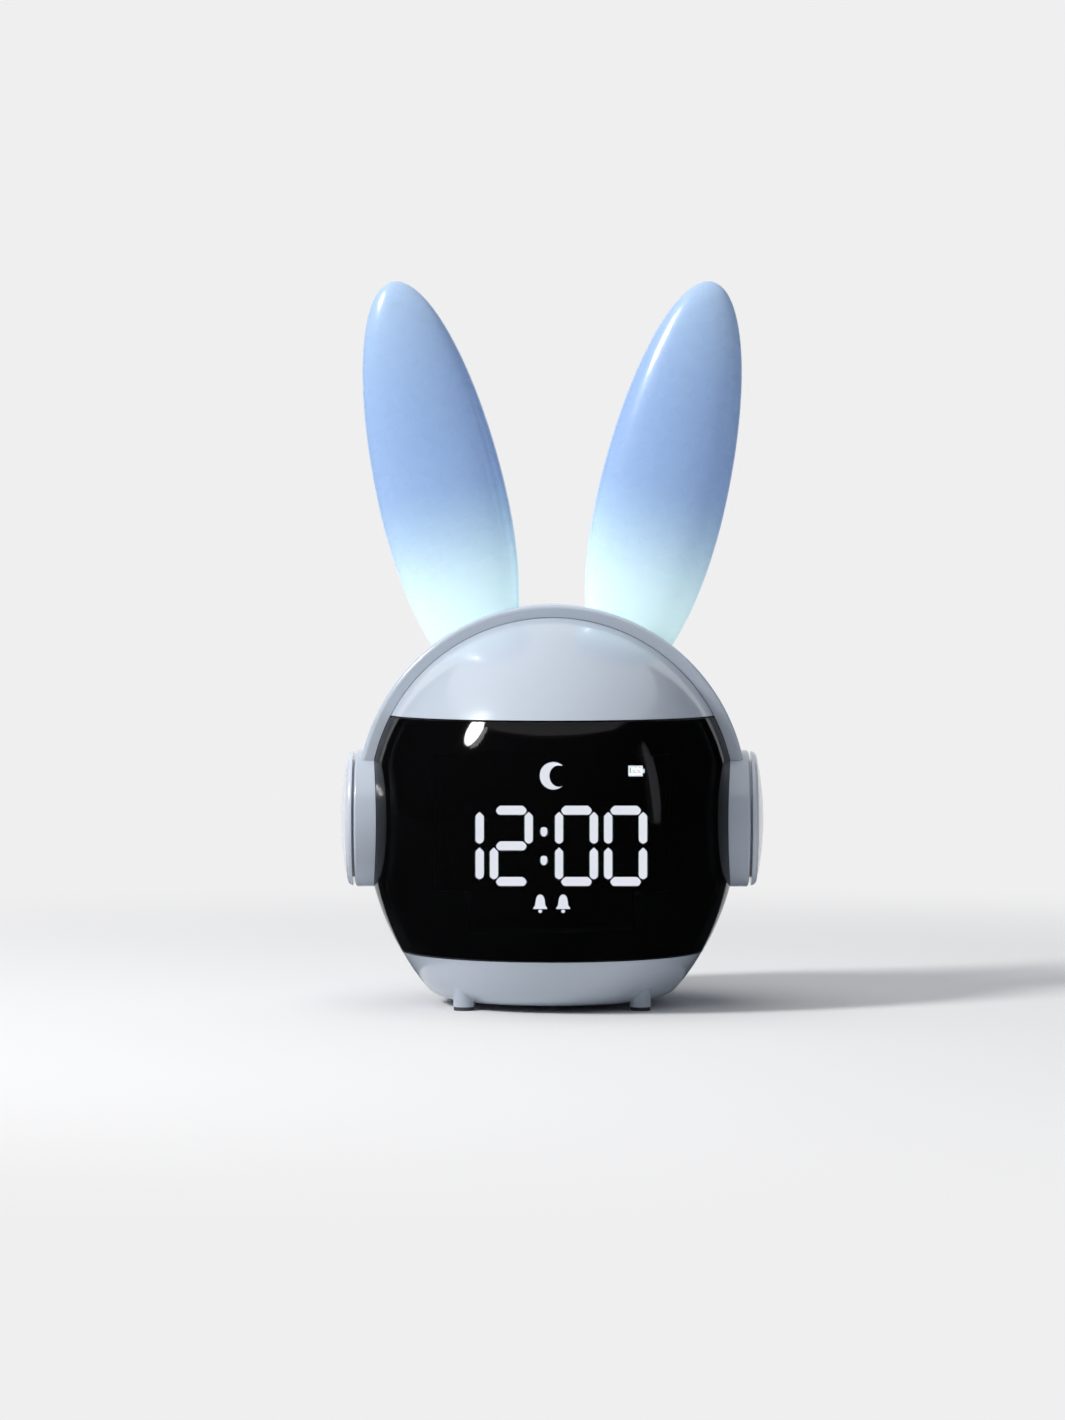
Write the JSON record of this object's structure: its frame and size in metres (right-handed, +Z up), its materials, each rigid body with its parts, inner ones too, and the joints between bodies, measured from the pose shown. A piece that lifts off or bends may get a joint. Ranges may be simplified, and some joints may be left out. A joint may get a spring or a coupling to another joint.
{
  "type": "kids alarm clock with night light",
  "caption": "Ball-shaped alarm clock for a child's room, with a wrap-round smoked display, side press pads, rear keys and two light-up rabbit ears.",
  "frame": {"origin": "on the table under the centre of the ball, at the soles of the feet", "axes": "+Z up, -Y towards the viewer of the display, +X to that viewer's right"},
  "size_m": [0.1056, 0.0934, 0.18],
  "materials": {
    "shell": "glossy moulded ABS, light periwinkle",
    "pad": "glossy moulded ABS, a little lighter than the shell",
    "dark_plastic": "fine-textured moulded plastic",
    "smoked_lens": "polished smoked acrylic",
    "black_plastic": "matt black moulded plastic",
    "lit_segments": "lit light guides",
    "dark_segments": "unlit light guides",
    "circuit_board": "glass-epoxy board with solder mask",
    "steel": "plated steel",
    "foam": "self-adhesive foam",
    "battery_wrap": "foil pouch",
    "paper_cone": "pressed paper",
    "magnet": "plated magnet",
    "white_plastic": "moulded nylon",
    "ear": "glossy translucent silicone-like plastic",
    "lamp": "clear lamp",
    "ribbon": "flat ribbon cable",
    "rubber": "soft rubber"
  },
  "bodies": {
    "root": {"front_shell": "shell", "rear_shell": "shell", "headband": "shell", "left_cup": "shell", "right_cup": "shell", "display_lens": "smoked_lens", "display_carrier": "black_plastic", "digit_mask": "black_plastic", "lit_digits": "lit_segments", "lit_icons": "lit_segments", "unlit_segments": "dark_segments", "display_board": "circuit_board", "main_board": "circuit_board", "charge_board": "circuit_board", "left_switch_board": "circuit_board", "right_switch_board": "circuit_board", "ear_light_boards": "circuit_board", "display_screws": "steel", "case_screws": "steel", "board_screws": "steel", "side_screws": "steel", "board_chips": "black_plastic", "battery_foam": "foam", "battery": "battery_wrap", "speaker_frame": "steel", "speaker_cone": "paper_cone", "speaker_magnet": "magnet", "usb_socket": "steel", "key_switches": "black_plastic", "side_switches": "black_plastic", "slide_switch": "steel", "left_ear": "ear", "right_ear": "ear", "ear_rings": "white_plastic", "ear_lamps": "lamp", "ribbon_connectors": "white_plastic", "ribbon_cable": "ribbon", "rubber_feet": "rubber"},
    "left_pad": {"left_pad": "pad", "left_plunger": "white_plastic"},
    "right_pad": {"right_pad": "pad", "right_plunger": "white_plastic"},
    "mode_button": {"mode_button": "pad", "mode_plunger": "white_plastic"},
    "set_button": {"set_button": "pad", "set_plunger": "white_plastic"},
    "up_button": {"up_button": "pad", "up_plunger": "white_plastic"},
    "down_button": {"down_button": "pad", "down_plunger": "white_plastic"},
    "power_knob": {"power_knob": "dark_plastic"}
  },
  "joints": [
    {"name": "left_pad_press", "type": "slide", "parent": "root", "child": "left_pad", "axis": [1, 0, 0], "range_m": [0, 0.00035], "stiffness_N_per_m": 1500, "springref_m": -0.0002},
    {"name": "right_pad_press", "type": "slide", "parent": "root", "child": "right_pad", "axis": [-1, 0, 0], "range_m": [0, 0.00035], "stiffness_N_per_m": 1500, "springref_m": -0.0002},
    {"name": "mode_button_press", "type": "slide", "parent": "root", "child": "mode_button", "axis": [0, -1, 0], "range_m": [0, 0.00035], "stiffness_N_per_m": 1500, "springref_m": -0.0002},
    {"name": "set_button_press", "type": "slide", "parent": "root", "child": "set_button", "axis": [0, -1, 0], "range_m": [0, 0.00035], "stiffness_N_per_m": 1500, "springref_m": -0.0002},
    {"name": "up_button_press", "type": "slide", "parent": "root", "child": "up_button", "axis": [0, -1, 0], "range_m": [0, 0.00035], "stiffness_N_per_m": 1500, "springref_m": -0.0002},
    {"name": "down_button_press", "type": "slide", "parent": "root", "child": "down_button", "axis": [0, -1, 0], "range_m": [0, 0.00035], "stiffness_N_per_m": 1500, "springref_m": -0.0002},
    {"name": "power_knob_slide", "type": "slide", "parent": "root", "child": "power_knob", "axis": [1, 0, 0], "range_m": [-0.001, 0.001]}
  ]
}
